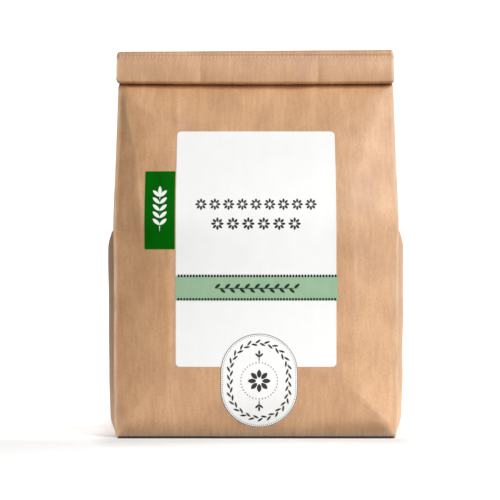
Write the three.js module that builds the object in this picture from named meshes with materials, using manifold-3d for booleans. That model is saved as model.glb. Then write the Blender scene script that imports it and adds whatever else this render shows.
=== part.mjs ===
// A shut, filled kraft paper bag with a block bottom. Its top is folded back on itself, and
// its front carries a label, a tab and a seal, with a printed band across the label.
// Millimetres, +Z up. The front faces -Y, and the origin is the middle of the base, on the floor.

import * as THREE from 'three';
import { mergeVertices } from 'three/addons/utils/BufferGeometryUtils.js';
import Module from 'manifold-3d';

const wasm = await Module();
wasm.setup();

// The bag as cut: the panels between its four upright creases, and the height when shut
const HALF_WIDTH = 59.3;
const GUSSET_WIDTH = 70;
const NECK_Z = 150;
const TOP_Z = 164;

// The bag as filled
const CREASE_DEPTH = GUSSET_WIDTH / 2 - 0.3; // from the middle plane to a crease, when full
const FRONT_DEPTH = 43; // from the middle plane to the fullest part of the front
const BACK_DEPTH = 41.5;
const NECK_DEPTH = 3; // half of the flattened neck
const SHOULDER_Z = 95; // the creases start to close here
const SHOULDER_TURN = 5; // how softly they do
const ROOF_SLOPE = 0.75; // how fast the panels close on the neck, above the contents
const ROOF_TURN = 14; // how softly they bend over into that slope
const SIDE_SLOPE = 0.36; // how fast the panels stand out past their creases
const FOOT_SLOPE = 0.29; // and above the floor
const FOOT_TUCK = 0.9; // the creases lean in by this much at the floor
const FOOT_HEIGHT = 22; // and are upright again at this height
const SIDE_SWELL = 4.4; // how far the contents push a gusset out
const SIDE_FOOT = 12; // the height over which that swell grows
const SWELL_END = SHOULDER_Z - 16; // and where it starts to die out again
const GUSSET_SHUT = 8; // below the neck, the height over which the folded gusset closes
const PANEL_FOLD = 4; // how crisp the folds between a panel's slopes are
const GUSSET_FOLD = 1.3; // 1 would be a sharp inner fold, 2 a round one

// The base: flat inside, its edge and its corners a little off the floor
const BASE_INSET = 4.5;
const EDGE_LIFT = 0.6;
const CORNER_LIFT = 0.2;
const CORNER_REACH = 8; // the higher, the closer to the corners the lift stays

// The folded top. The neck runs up into it at the back, turns over the top fold and hangs down
// at the front as a flap, whose last layer is turned up again.
const FLAP_HALF_WIDTH = 59.9;
const FLAP_CORNER = 1.6; // corner radius, seen from the front
const FLAP_FRONT = 6.4; // its face, in front of the middle plane
const FLAP_BACK = 2.5; // its back, where it takes over from the neck
const BACK_RISE = 3; // and how far that is above its lower edge
const TOP_BACK = 1.2; // the back of the top fold
const FLAP_LIP = 2.2; // thickness of its lower edge
const LIP_ROUND = 0.5;
const FACE_BOW = 0.15; // its face swells by this much halfway up
const LIP_GAP = 2.6; // how far the gap between its lower edge and the neck runs up
const NECK_OVERLAP = 1.2; // how deep the two are joined
const NECK_RISE = 7; // the neck runs on by this much inside
const NECK_TIP = 1; // and is this deep there, from the middle plane
const FLAP_SAG = 0.4; // its lower edge hangs this much lower in the middle
const TOP_TILT = 0.4; // the top fold is this much lower at the left end and higher at the right
const TOP_ROUND = 4; // height of the rounded top fold
const DENTS = [-23.6, 27]; // where the gusset's inner folds end, inside the layers
const DENT_DEPTH = 0.5;
const DENT_REACH = 2.4;

// The free edge of the paper, cut in teeth, which ends near the top of the flap
const TOOTH_PITCH = 1.57;
const TOOTH_HEIGHT = 0.85;
const TEETH_BELOW_TOP = 2.2;
const LAYER_STEP = 1.1; // thickness of the turned-up layer

// The stickers: places on the front, x and z, and their thickness
const GAP = 0.3; // clear space under each layer
const LABEL = { left: -33.3, right: 33.3, low: 29.9, high: 128.5, corner: 1.7 };
const TAB = { left: -46.3, right: -33.7, low: 78.6, high: 111.2, corner: 0.3 };
const BAND = { left: -33.5, right: 33.9, low: 57.4, high: 67.5, corner: 0.3 };
const SEAL = { left: -14.7, right: 17.3, low: 4.4, high: 43.7, corner: 16 };
const STICKER = 0.3;

// How finely the paper is divided
const FRONT_COLUMNS = 28;
const BACK_COLUMNS = 20;
const GUSSET_COLUMNS = 12;
const FLAP_COLUMNS = 22;

const KRAFT = new THREE.MeshStandardMaterial({ color: '#cda27a', roughness: 0.85, metalness: 0 });
const WHITE = new THREE.MeshStandardMaterial({ color: '#f4f4f3', roughness: 0.55, metalness: 0 });
const GREEN = new THREE.MeshStandardMaterial({ color: '#035e07', roughness: 0.45, metalness: 0 });
const SAGE = new THREE.MeshStandardMaterial({ color: '#97b597', roughness: 0.55, metalness: 0 });
const IVORY = new THREE.MeshStandardMaterial({ color: '#f8f8f7', roughness: 0.5, metalness: 0 });

const clamp01 = (value) => Math.min(1, Math.max(0, value));
const mix = (from, to, share) => from + (to - from) * share;

function ease(from, to, value) {
  const share = clamp01((value - from) / (to - from));
  return share * share * (3 - 2 * share);
}

// Evenly spaced values from one end to the other, both ends included
function steps(from, to, count) {
  return Array.from({ length: count + 1 }, (_, i) => mix(from, to, i / count));
}

// The lower of two values, with the turn between them rounded
function softMin(a, b, turn) {
  const share = clamp01(0.5 + (b - a) / (2 * turn));
  return mix(b, a, share) - turn * share * (1 - share);
}

// The walls

const creaseX = (z) => HALF_WIDTH - FOOT_TUCK * (1 - ease(0, FOOT_HEIGHT, z));

// From the middle plane to a crease: full up to the shoulder, then closing to the neck
function creaseDepth(z) {
  const closing = mix(CREASE_DEPTH, NECK_DEPTH, (z - SHOULDER_Z) / (NECK_Z - SHOULDER_Z));
  return Math.max(NECK_DEPTH, softMin(CREASE_DEPTH, closing, SHOULDER_TURN));
}

// How far the front or back stands out past its creases. Like a hip roof, it rises from the
// creases, from the floor and from the neck, and the folds between the slopes are soft.
function panelSwell(x, z, fullDepth) {
  const roof = NECK_DEPTH + ROOF_SLOPE * (NECK_Z - z);
  const face = softMin(fullDepth, roof, ROOF_TURN) - creaseDepth(z);
  const side = SIDE_SLOPE * (creaseX(z) - Math.abs(x));
  const foot = FOOT_SLOPE * z;
  if (Math.min(face, side, foot) <= 0) return 0;
  const slopes = [face, side, foot];
  return slopes.reduce((sum, rise) => sum + rise ** -PANEL_FOLD, 0) ** (-1 / PANEL_FOLD);
}

// The gusset, from the front crease (-1) to the back crease (1): pushed out by the contents,
// and above them folded in along its middle, as deep as its paper reaches
function gussetX(across, z) {
  const depth = creaseDepth(z);
  const grow = 1 - (1 - clamp01(z / SIDE_FOOT)) ** 3;
  const swell = SIDE_SWELL * grow * (1 - ease(SWELL_END, SHOULDER_Z, z));
  const fold = Math.sqrt(Math.max(0, CREASE_DEPTH ** 2 - depth ** 2));
  const open = 1 - ease(NECK_Z - GUSSET_SHUT, NECK_Z - 1, z);
  const inward = fold * open * (1 - Math.abs(across) ** GUSSET_FOLD);
  return creaseX(z) + swell * (1 - across ** 2) - inward;
}

// One level outline of the walls, anticlockwise from the front left crease
function wallRing(z) {
  const edge = creaseX(z);
  const depth = creaseDepth(z);
  const front = steps(-edge, edge, FRONT_COLUMNS);
  const back = steps(edge, -edge, BACK_COLUMNS);
  const across = steps(-1, 1, GUSSET_COLUMNS).slice(1, -1);
  return [
    ...front.map((x) => new THREE.Vector3(x, -depth - panelSwell(x, z, FRONT_DEPTH), z)),
    ...across.map((u) => new THREE.Vector3(gussetX(u, z), u * depth, z)),
    ...back.map((x) => new THREE.Vector3(x, depth + panelSwell(x, z, BACK_DEPTH), z)),
    ...across.map((u) => new THREE.Vector3(-gussetX(-u, z), -u * depth, z)),
  ];
}

// The lowest outline, lifted off the floor at its corners
function footRing() {
  return wallRing(0).map((point) => {
    const outwards = Math.abs((point.x / creaseX(0)) * (point.y / CREASE_DEPTH));
    return point.setZ(EDGE_LIFT + CORNER_LIFT * outwards ** CORNER_REACH);
  });
}

function baseRing() {
  const narrow = 1 - BASE_INSET / HALF_WIDTH;
  const shallow = 1 - BASE_INSET / CREASE_DEPTH;
  return wallRing(0).map((point) => new THREE.Vector3(point.x * narrow, point.y * shallow, 0));
}

// The levels of the walls, closer together where the form turns
const ROOF_START = SHOULDER_Z + 24; // above here the panels are nearly straight
const WALL_LEVELS = [
  ...steps(3, FOOT_HEIGHT, 5),
  ...steps(FOOT_HEIGHT, SWELL_END, 6).slice(1),
  ...steps(SWELL_END, ROOF_START, 11).slice(1),
  ...steps(ROOF_START, NECK_Z, 7).slice(1),
];

const WALL_RINGS = [footRing(), ...WALL_LEVELS.map(wallRing)];

// The tip of the neck inside the folded top, drawn in a little so that the top covers it
function neckRing() {
  return wallRing(NECK_Z).map((point) => {
    const depth = (point.y * NECK_TIP) / NECK_DEPTH;
    return new THREE.Vector3(point.x * 0.99, depth, NECK_Z + NECK_RISE);
  });
}

// Solids from rings and grids

function meshFrom(positions, faces) {
  const geometry = new THREE.BufferGeometry();
  geometry.setAttribute('position', new THREE.Float32BufferAttribute(positions, 3));
  geometry.setIndex(faces);
  return geometry;
}

// The flat end of a stack of rings, its triangles turned the way that the stack runs or back
function endFaces(ring, first, flatten, turn) {
  const outline = ring.map(flatten);
  const faces = THREE.ShapeUtils.triangulateShape(outline, []);
  return faces.flatMap(([a, b, c]) => {
    const corner = [outline[a], outline[b], outline[c]];
    const forwards = THREE.ShapeUtils.area(corner) > 0;
    return forwards === turn ? [first + a, first + b, first + c] : [first + a, first + c, first + b];
  });
}

// A closed solid from a stack of rings, each anticlockwise seen from where the stack ends
function stackRings(rings, flatten) {
  const count = rings[0].length;
  const faces = [];
  for (let ring = 0; ring + 1 < rings.length; ring += 1) {
    for (let i = 0; i < count; i += 1) {
      const a = ring * count + i;
      const b = ring * count + ((i + 1) % count);
      faces.push(a, b, b + count, a, b + count, a + count);
    }
  }
  faces.push(...endFaces(rings[0], 0, flatten, false));
  faces.push(...endFaces(rings.at(-1), (rings.length - 1) * count, flatten, true));
  return meshFrom(rings.flat().flatMap((point) => point.toArray()), faces);
}

// A closed slab over part of the front, its two faces moved forwards by near and by far
function frontSlab(grid, near, far) {
  const columns = grid[0].length;
  const layer = grid.length * columns;
  const last = { row: grid.length - 1, column: columns - 1 };
  const at = (row, column) => row * columns + column;
  const faces = [];
  for (let row = 0; row < last.row; row += 1) {
    for (let column = 0; column < last.column; column += 1) {
      const a = at(row, column);
      const b = at(row, column + 1);
      const c = at(row + 1, column + 1);
      const d = at(row + 1, column);
      faces.push(a, b, c, a, c, d);
      faces.push(layer + a, layer + c, layer + b, layer + a, layer + d, layer + c);
    }
  }
  const wall = (p, q) => faces.push(q, p, layer + p, q, layer + p, layer + q);
  for (let column = 0; column < last.column; column += 1) {
    wall(at(0, column), at(0, column + 1));
    wall(at(last.row, column + 1), at(last.row, column));
  }
  for (let row = 0; row < last.row; row += 1) {
    wall(at(row, last.column), at(row + 1, last.column));
    wall(at(row + 1, 0), at(row, 0));
  }
  const positions = [far, near].flatMap((forwards) => {
    return grid.flat().flatMap((point) => [point.x, point.y - forwards, point.z]);
  });
  return meshFrom(positions, faces);
}

function toSolid(geometry) {
  const bare = geometry.clone();
  bare.deleteAttribute('normal');
  bare.deleteAttribute('uv');
  const merged = mergeVertices(bare);
  const vertProperties = merged.attributes.position.array;
  const triVerts = Uint32Array.from(merged.index.array);
  return new wasm.Manifold(new wasm.Mesh({ numProp: 3, vertProperties, triVerts }));
}

function toGeometry(solid) {
  const { vertProperties, triVerts } = solid.getMesh();
  const geometry = meshFrom(Array.from(vertProperties), Array.from(triVerts));
  geometry.computeVertexNormals();
  return geometry;
}

// A straight prism through the front, from an outline drawn in x and z
function prism(outline, front, back) {
  const settings = { depth: front - back, bevelEnabled: false, curveSegments: 10 };
  const geometry = new THREE.ExtrudeGeometry(outline, settings);
  geometry.rotateX(Math.PI / 2);
  geometry.translate(0, -back, 0);
  return toSolid(geometry);
}

function roundedOutline({ left, right, low, high, corner }, grow = 0) {
  const outline = new THREE.Shape();
  const radius = corner + grow;
  const [x0, x1] = [left - grow + radius, right + grow - radius];
  const [z0, z1] = [low - grow + radius, high + grow - radius];
  outline.absarc(x1, z0, radius, -Math.PI / 2, 0);
  outline.absarc(x1, z1, radius, 0, Math.PI / 2);
  outline.absarc(x0, z1, radius, Math.PI / 2, Math.PI);
  outline.absarc(x0, z0, radius, Math.PI, Math.PI * 1.5);
  return outline;
}

// The folded top

// Near an end the section shrinks, which rounds the corners seen from the front
function endShrink(x) {
  const past = clamp01((Math.abs(x) - (FLAP_HALF_WIDTH - FLAP_CORNER)) / FLAP_CORNER);
  return FLAP_CORNER * (1 - Math.sqrt(1 - past ** 2));
}

function dentAt(x) {
  const deepest = DENTS.map((place) => 1 - ease(0, DENT_REACH, Math.abs(x - place)));
  return DENT_DEPTH * Math.max(...deepest);
}

const flapTop = (x) => TOP_Z + TOP_TILT * (x / FLAP_HALF_WIDTH) - endShrink(x);

// The section at x, anticlockwise seen from +X. Its two inner points lie inside the neck.
// The face can be sunk by the turned-up layer's thickness, fading out over the top of the fold.
function flapRing(x, sunk) {
  const shrink = endShrink(x);
  const low = NECK_Z - FLAP_SAG * (1 - (x / FLAP_HALF_WIDTH) ** 2) + shrink;
  const high = flapTop(x);
  const face = FLAP_FRONT - dentAt(x) - shrink / 2;
  const back = TOP_BACK - shrink / 2;
  const middle = (back - face) / 2;
  const round = steps(0, Math.PI, 10).map((angle) => {
    const sink = mix(-LAYER_STEP / 3, LAYER_STEP, ease(Math.PI / 2, Math.PI * 0.75, angle)) * sunk;
    const reach = (back + face) / 2 - sink;
    const rise = TOP_ROUND - sink;
    return [middle + reach * Math.cos(angle), high - TOP_ROUND + rise * Math.sin(angle)];
  });
  const sunkFace = face - LAYER_STEP * sunk;
  const inner = face - FLAP_LIP;
  const section = [
    [NECK_DEPTH - NECK_OVERLAP, low + NECK_OVERLAP],
    [FLAP_BACK - shrink / 2, low + BACK_RISE],
    ...round,
    [-sunkFace - FACE_BOW, (low + high) / 2],
    [-sunkFace, low + 4 * LIP_ROUND],
    [-face + LIP_ROUND / 2, low + LIP_ROUND],
    [-face + FLAP_LIP / 2, low],
    [-inner, low + LIP_ROUND],
    [-inner + LIP_ROUND / 2, (2 * low + LIP_GAP + LIP_ROUND) / 2],
    [-NECK_DEPTH + NECK_OVERLAP, low + LIP_GAP],
  ];
  return section.map(([y, z]) => new THREE.Vector3(x, y, z));
}

function flapStations() {
  const flat = FLAP_HALF_WIDTH - FLAP_CORNER;
  const turn = [0.5, 0.8, 0.95, 1].map((share) => flat + FLAP_CORNER * share);
  const dents = DENTS.flatMap((place) => steps(place - DENT_REACH, place + DENT_REACH, 4));
  const clearOfDents = (x) => DENTS.every((place) => Math.abs(x - place) > DENT_REACH + 1);
  const even = steps(-flat, flat, FLAP_COLUMNS).filter(clearOfDents);
  return [...turn.map((x) => -x), ...even, ...dents, ...turn].sort((a, b) => a - b);
}

function flapSolid(sunk) {
  const rings = flapStations().map((x) => flapRing(x, sunk));
  return toSolid(stackRings(rings, (point) => new THREE.Vector2(point.y, point.z)));
}

// All that lies above the toothed line, drawn in x and z
function aboveTeeth() {
  const outline = new THREE.Shape();
  const count = 2 * Math.ceil((FLAP_HALF_WIDTH + 1) / TOOTH_PITCH);
  const start = (-count * TOOTH_PITCH) / 2;
  const line = (x) => TOP_Z + TOP_TILT * (x / FLAP_HALF_WIDTH) - TEETH_BELOW_TOP;
  outline.moveTo(start, line(start));
  for (let tooth = 0; tooth < count; tooth += 1) {
    const tip = start + (tooth + 0.5) * TOOTH_PITCH;
    const notch = start + (tooth + 1) * TOOTH_PITCH;
    outline.lineTo(tip, line(tip) + TOOTH_HEIGHT / 2);
    outline.lineTo(notch, line(notch) - TOOTH_HEIGHT / 2);
  }
  outline.lineTo(-start, TOP_Z + TOP_ROUND);
  outline.lineTo(start, TOP_Z + TOP_ROUND);
  return outline;
}

function foldedTop() {
  const outerLayer = prism(aboveTeeth(), 2 * FLAP_FRONT, 0).subtract(flapSolid(1));
  return flapSolid(0).subtract(outerLayer);
}

function bag() {
  const rings = [baseRing(), ...WALL_RINGS, neckRing()];
  const walls = toSolid(stackRings(rings, (point) => new THREE.Vector2(point.x, point.y)));
  return toGeometry(walls.add(foldedTop()));
}

// The stickers follow the facets of the front, so they keep the same gap all over

function frontGrid({ left, right, low, high }) {
  const rings = WALL_RINGS.map((ring) => ring.slice(0, FRONT_COLUMNS + 1));
  const level = (ring) => ring[0].z;
  const firstRow = rings.findLastIndex((ring) => level(ring) < low - GAP);
  const lastRow = rings.findIndex((ring) => level(ring) > high + GAP);
  const columns = rings[firstRow];
  const firstColumn = columns.findLastIndex((point) => point.x < left - 2 * GAP);
  const lastColumn = columns.findIndex((point) => point.x > right + 2 * GAP);
  return rings.slice(firstRow, lastRow + 1).map((ring) => ring.slice(firstColumn, lastColumn + 1));
}

function layer(place, near, far) {
  return toSolid(frontSlab(frontGrid(place), near, far)).intersect(
    prism(roundedOutline(place), GUSSET_WIDTH, 0),
  );
}

function label() {
  return toGeometry(layer(LABEL, GAP, GAP + STICKER));
}

function tab() {
  return toGeometry(layer(TAB, GAP, GAP + STICKER));
}

function band() {
  const near = 2 * GAP + STICKER;
  return toGeometry(layer(BAND, near, near + STICKER));
}

// The seal lies half on the label and half on the paper
function seal() {
  const near = 2 * GAP + STICKER;
  const underLabel = toSolid(frontSlab(frontGrid(SEAL), 0, near));
  const step = underLabel.intersect(prism(roundedOutline(LABEL, GAP), GUSSET_WIDTH, 0));
  return toGeometry(layer(SEAL, GAP, near + STICKER).subtract(step));
}

const model = new THREE.Group();
const pieces = [
  ['bag', bag(), KRAFT],
  ['label', label(), WHITE],
  ['tab', tab(), GREEN],
  ['band', band(), SAGE],
  ['seal', seal(), IVORY],
];
for (const [name, geometry, material] of pieces) {
  const mesh = new THREE.Mesh(geometry, material);
  mesh.name = name;
  model.add(mesh);
}

export default model;
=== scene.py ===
# A shut, filled bag of brown kraft paper, its top folded over, with a label, a printed band, a
# tab and a seal stuck on its front. Metres: the front faces -Y and the base rests on z = 0.

import math

import bpy
import numpy as np
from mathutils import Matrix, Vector, noise


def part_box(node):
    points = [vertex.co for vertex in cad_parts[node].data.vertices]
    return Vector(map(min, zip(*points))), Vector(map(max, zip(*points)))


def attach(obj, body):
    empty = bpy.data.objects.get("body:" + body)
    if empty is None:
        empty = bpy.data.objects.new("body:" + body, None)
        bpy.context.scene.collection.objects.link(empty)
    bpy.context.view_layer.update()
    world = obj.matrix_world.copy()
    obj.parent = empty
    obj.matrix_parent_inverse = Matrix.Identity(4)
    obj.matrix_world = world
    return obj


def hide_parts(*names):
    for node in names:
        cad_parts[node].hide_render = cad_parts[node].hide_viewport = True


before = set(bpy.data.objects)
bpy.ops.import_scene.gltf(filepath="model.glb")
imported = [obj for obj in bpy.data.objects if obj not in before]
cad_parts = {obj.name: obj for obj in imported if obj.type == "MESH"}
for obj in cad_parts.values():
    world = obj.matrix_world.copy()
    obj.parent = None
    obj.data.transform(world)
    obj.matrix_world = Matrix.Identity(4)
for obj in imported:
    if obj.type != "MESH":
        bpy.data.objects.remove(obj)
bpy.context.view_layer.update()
bpy.ops.object.select_all(action="DESELECT")

MM = 0.001

# The bag's form, in nearly the same measures as in the frame
HALF_WIDTH = 59.1 * MM  # from the middle to the upright creases, without their lips
CREASE_DEPTH = 34.7 * MM  # from the middle plane to a crease, where the bag is full
FRONT_DEPTH = 43 * MM  # and to the fullest part of the front and of the back
BACK_DEPTH = 41.5 * MM
FACE_BOW = 2.5 * MM  # these are this much less at the creases, so that the panels are round
NECK_Z = 150 * MM  # the bag is closed here
NECK_DEPTH = 3 * MM
SHOULDER_Z = 95 * MM  # the creases start to close here
SHOULDER_TURN = 5 * MM
BOW_Z = 90 * MM  # just below, they bow out to the sides
BOW = 0.3 * MM
BOW_REACH = 12 * MM
ROOF_SLOPE = 0.75
ROOF_START = 1.7 * MM  # the panels stand out this much more from just under the neck
ROOF_TURN = 14 * MM
SIDE_SLOPE = 0.34
HIGH_SLOPE = 0.4  # steeper above the shoulder
SIDE_RISE = (80 * MM, 120 * MM)
FOOT_SLOPE = 0.36
FOOT_TUCK = 0.4 * MM
FOOT_HEIGHT = 22 * MM
SIDE_SWELL = 4.45 * MM
SIDE_FOOT = 9 * MM  # the gussets swell out at once above the floor
LOW_SWELL = 0.9  # share of the swell that they reach there
FULL_SWELL = 58 * MM  # and the height where it is full
SWELL_END = 79 * MM
PANEL_FOLD = 4  # how crisp the folds between a panel's slopes are
GUSSET_FOLD = 1.2

# The neck, flattened between the walls and the folded top
TUCK_Z = 149.4 * MM  # the front goes in behind the flap between these
TUCK_END = 151 * MM
SWELL_GONE = TUCK_END - 0.6 * MM  # and stands out past its creases up to here
PACK_Z = 158 * MM  # the neck's layers lie flat on each other from here up
PACK_BACK = 1.34 * MM  # where the back and the front are there
PACK_FRONT = -0.9 * MM
PACK_RISE = 0.4 * MM  # the back closes in this much higher than the front
WALL_TOP = 160 * MM
WALL_TIP = 0.7 * MM  # the walls end inside the layers

# The top folded from it
PACK_CENTRE = 0.2 * MM
TOP_Z = 164.55 * MM
TOP_TILT = 0.4 * MM  # the top fold is this much lower at the left end and higher at the right
TOP_BEND = 1.25 * MM  # bend radius of the top fold, at the middle of the layers
LOW_BEND = 1.95 * MM  # and of the lower fold
TOP_PRESS = 0.75  # the folds are pressed to these shares of their round height
LOW_PRESS = 0.3
FLAP_LEFT = -60.0 * MM
FLAP_RIGHT = 59.6 * MM
FLAP_CORNER = 1.3 * MM
FLAP_Z = 150.25 * MM  # the flap's lower edge, at its ends
FLAP_SAG = 0.4 * MM
TEETH_Z = 161.75 * MM  # the paper's toothed edge, level along the flap
TOOTH_PITCH = 1.57 * MM
TOOTH_HEIGHT = 1.1 * MM
INNER_TEETH = 0.9 * MM  # the layers behind end this much lower
# Where the gussets' inner folds end, and the reach of the dent to the left and the right of each
DENTS = ((-23.8 * MM, 7 * MM, 15 * MM), (26.8 * MM, 8 * MM, 9 * MM))
DENT_DEPTH = 0.8 * MM
DENT_TOP = 0.3  # share of that depth at the flap's upper edge
TEETH_CURL = 0.2 * MM  # the cut edge curls forwards
FACE_LEAN = 1.8 * MM  # the flap's face leans back by this much at the top, more and more
FLAP_BOW = 1.0 * MM  # and stands out more in the middle than at its ends
FLAP_WAVE = 0.12 * MM  # the layers wave a little along their length
WAVE_LENGTH = 38 * MM
GUSSET_REACH = 34.6 * MM
PAPER = 0.3 * MM  # thickness of a layer, thicker than the real 0.1 mm so that its edge shows
LAYER_STEP = 0.62 * MM  # from one layer to the next
OUTER_LAYER = 1.5 * LAYER_STEP  # the outer and inner layers, from the middle of all four
INNER_LAYER = 0.5 * LAYER_STEP
# Where the five parts of a layer's way meet, as shares of it, from the neck to the toothed edge
WAY_STOPS = (0, 0.08, 0.33, 0.46, 0.71, 1)
# Shares of it between which its waves, its face, the dents' upper end, the inner layers' lower
# end, the curl and the cut edge come in
WAVE_SPAN = (0.02, 0.2)
FACE_SPAN = (0.4, 0.6)
DENT_SPAN = (0.72, 1)
INNER_SPAN = (0.9, 1)
CURL_SPAN = (0.96, 1)
CUT_SPAN = (0.985, 0.999)

# The base and the back
EDGE_LIFT = 0.5 * MM
BASE_INSET = 4.5 * MM
BASE_Z = 0.4 * MM  # the inner layer of the base, above its two folded flaps
BASE_FLAP = 0.18 * MM
BASE_FLAP_TIP = 8 * MM  # each flap reaches past the middle by this much
BASE_FLAP_INSET = 0.6 * MM  # and starts this far inside the crease
BASE_FLAP_SIDE = 0.5 * MM  # its ends are this far inside the foot's corners
SEAM_HALF = 8 * MM  # half of the glued overlap up the back
SEAM = 0.16 * MM
SEAM_START = 1.2 * MM  # it starts this far above the floor
MACHINE_CREASE_Z = 35 * MM  # the bag was folded flat here, at the back and across the gussets

# Creases: how far a crease's two lips stand proud, and how far from it
LIP = 0.26 * MM
LIP_REACH = 0.9 * MM
LIP_START = (2 * MM, 6 * MM)  # they grow between these heights

# The folds and waves of the paper
FOLD_END = 0.25  # a fold fades out over this share of its length at each end
FOLD_PAST = 0.05  # and over this share past it
RELIEF_SIDE = (0, 4 * MM)  # a panel's relief grows between these distances from its creases
RELIEF_FOOT = (0.5 * MM, 7 * MM)  # and between these heights
PANEL_WAVES = ((0.22 * MM, 21 * MM, 0), (0.09 * MM, 8 * MM, 5))  # height, size and which draw
LABEL_MARGIN = 4 * MM  # the label holds the paper smooth up to this far from its edges
GUSSET_WAVES = (0.3 * MM, 19 * MM)
GUSSET_SIDE = (0, 5 * MM)
GUSSET_FOOT = (1 * MM, 8 * MM)
GUSSET_CALM = (120 * MM, 140 * MM)  # a gusset's waves die out between these heights
MARK_START = (2 * MM, 9 * MM)  # a gusset's sharp folds grow between these heights
MARK_FADE = (SHOULDER_Z - 8 * MM, SHOULDER_Z + 6 * MM)  # the upright one ends between these
MARK_HEIGHT = 2 * MM  # the slanting ones end over this height
MARK_LENGTH = 3 * MM  # and the others start over this length
SLANT_MARK = 0.7  # their heights, as shares of a lip's
UPRIGHT_MARK = 1.6

# Paler and darker paper: how far each kind reaches, and its share of the full effect
# the lowest edge is painted paler, partly as wear and partly as painted light where the foot lies in
# shade
EDGE_WEAR_AND_LIGHT = (2.2 * MM, 0.7)
RIDGE_WEAR = (1.1, 0.12)  # the reach in mm, as the folds are
MACHINE_WEAR = 0.5
SEAM_WEAR = (0.3 * MM, 0.7)
FLAP_END_WEAR = 0.9 * MM
# the creases are painted paler, partly as wear and partly as painted highlight
CREASE_WEAR_AND_HIGHLIGHT = (1.0 * MM, 0.65, 0.5)  # its share varies by up to the last value
PATCH = 9 * MM  # from patch to patch of this size
# A layer's top fold and lower fold: their places along its way, as shares of it, come first
LAYER_WEAR = ((0.2, 0.06, 0.35), (0.58, 0.05, 0.15))
# Painted shade under the flap and behind the teeth, where their shadow falls: its height comes first
UNDER_FLAP_SHADE = (TUCK_Z + 0.5 * MM, 0.45 * MM, 0.5)
TEETH_GAP_SHADE = (TEETH_Z - 0.4 * MM, 0.45 * MM, 0.15)
BEHIND_TEETH = (0.3, 0.4)  # the shares of a layer's way that lie there
SHADE_SEEN = 0.1  # below this share it is left out

# The stickers
STICKER = 0.12 * MM
INK = 0.05 * MM
LABEL_CORNER = 1.7 * MM
PRINT_CORNER = 0.3 * MM  # of the band and the tab
SEAL_CORNER = 16 * MM
OPEN_CORNER = 0.01 * MM  # a round end stays this much short of a half circle
FLAT_Y = -60 * MM  # flat pieces are made here, in front of the bag, and pressed back onto it

# The studio's floor
FLOOR_WIDTH = (175 * MM, 900 * MM)  # in front and at the backdrop, little more than in view
FLOOR_FRONT = -300 * MM
BACKDROP_Y = 2500 * MM
SHADE_INSET = 2 * MM  # the shadows' distances start this far inside the foot's corners
SIDE_SHADE = 4  # beside the bag they count this many times, so the shadows end sooner there
FOOT_SHADE = (2.5 * MM, 7 * MM)  # the thin painted shadow at the bag's foot fades out between these
FOOT_LIGHT = (0.02, 0.9)  # from this share of the light to this
SOFT_SHADE = (0, 60 * MM)  # and so does a much fainter one round it
SOFT_LIGHT = (0.7, 1)
GLOW_RISE = (-60 * MM, 0)  # the floor's glow rises between these, from front to back
GLOW = (0.3, 0.8)

# The backdrop, the lights and the camera, where the photograph was taken from, in metres
BACKDROP_SIZE = 3
BACKDROP_GLOW = 0.8
ROOM_LIGHT = 0.05
CAMERA_PLACE = (-0.0025, -0.935, 0.0783)
LENS = 155.2  # in mm, for a picture 36 mm wide
# Each softbox's place, the point that it faces, its size and its power in watts
SOFTBOXES = {
    "key": ((0.74, -0.7, 1.1), (0, 0, 0.11), (0.6, 0.6), 12.5),
    "side": ((1.2, -0.8, 0.2), (0, 0, 0.08), (0.8, 0.5), 6.5),
    "front": ((0.1, -0.6, 0.5), (0, 0, 0.14), (0.5, 0.3), 1.6),
    "left": ((-1.3, -0.15, 0.35), (0, 0, 0.08), (0.8, 0.8), 3.0),
    "rim": ((1.1, 0.45, 0.35), (0, 0, 0.07), (0.6, 0.6), 6.0),
}

# How finely the paper is divided
FRONT_COLUMNS = 190
BACK_COLUMNS = 110
GUSSET_COLUMNS = 56
WALL_ROWS = 216
TOOTH_COLUMNS = 6
LAYER_ROWS = 52
WELD = 0.02 * MM  # points closer than this become one
LEVEL = 0.01 * MM  # and points are chosen by their height to within this
PAPER_ANGLE = 38  # edges that turn by more degrees than this stay sharp, on paper
FLAT_ANGLE = 30  # and on flat pieces


def clamp01(value):
    return np.clip(value, 0, 1)


def mix(start, end, share):
    return start + (end - start) * share


def ease(start, end, value):
    share = clamp01((value - start) / (end - start))
    return share * share * (3 - 2 * share)


def soft_min(a, b, turn):
    """The lower of two values, with the turn between them rounded."""
    share = clamp01(0.5 + (b - a) / (2 * turn))
    return mix(b, a, share) - turn * share * (1 - share)


def near(distance, reach):
    """1 on a line, fading out to its sides."""
    return np.exp(-((distance / reach) ** 2))


# Shaping by operators and by moving points


def take(piece):
    """Makes one piece the active and only selected one."""
    bpy.ops.object.select_all(action="DESELECT")
    piece.select_set(True)
    bpy.context.view_layer.objects.active = piece


def named(name):
    piece = bpy.context.active_object
    piece.name = piece.data.name = name
    return piece


def grid(name, columns, rows):
    """A flat grid that reaches from -1 to 1 both ways."""
    bpy.ops.mesh.primitive_grid_add(x_subdivisions=columns, y_subdivisions=rows, size=2)
    return named(name)


def points_of(piece):
    points = np.empty(len(piece.data.vertices) * 3)
    piece.data.vertices.foreach_get("co", points)
    return points.reshape(-1, 3)


def move_points(piece, place):
    """Moves every point of a piece to where place(points) puts it."""
    piece.data.vertices.foreach_set("co", place(points_of(piece)).ravel())
    piece.data.update()
    return piece


def join(pieces, name):
    take(pieces[0])
    for piece in pieces:
        piece.select_set(True)
    bpy.ops.object.join()
    return named(name)


def edit(piece):
    """Enters edit mode on one piece alone."""
    take(piece)
    bpy.ops.object.mode_set(mode="EDIT")


def end_edit():
    bpy.ops.object.mode_set(mode="OBJECT")


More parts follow.
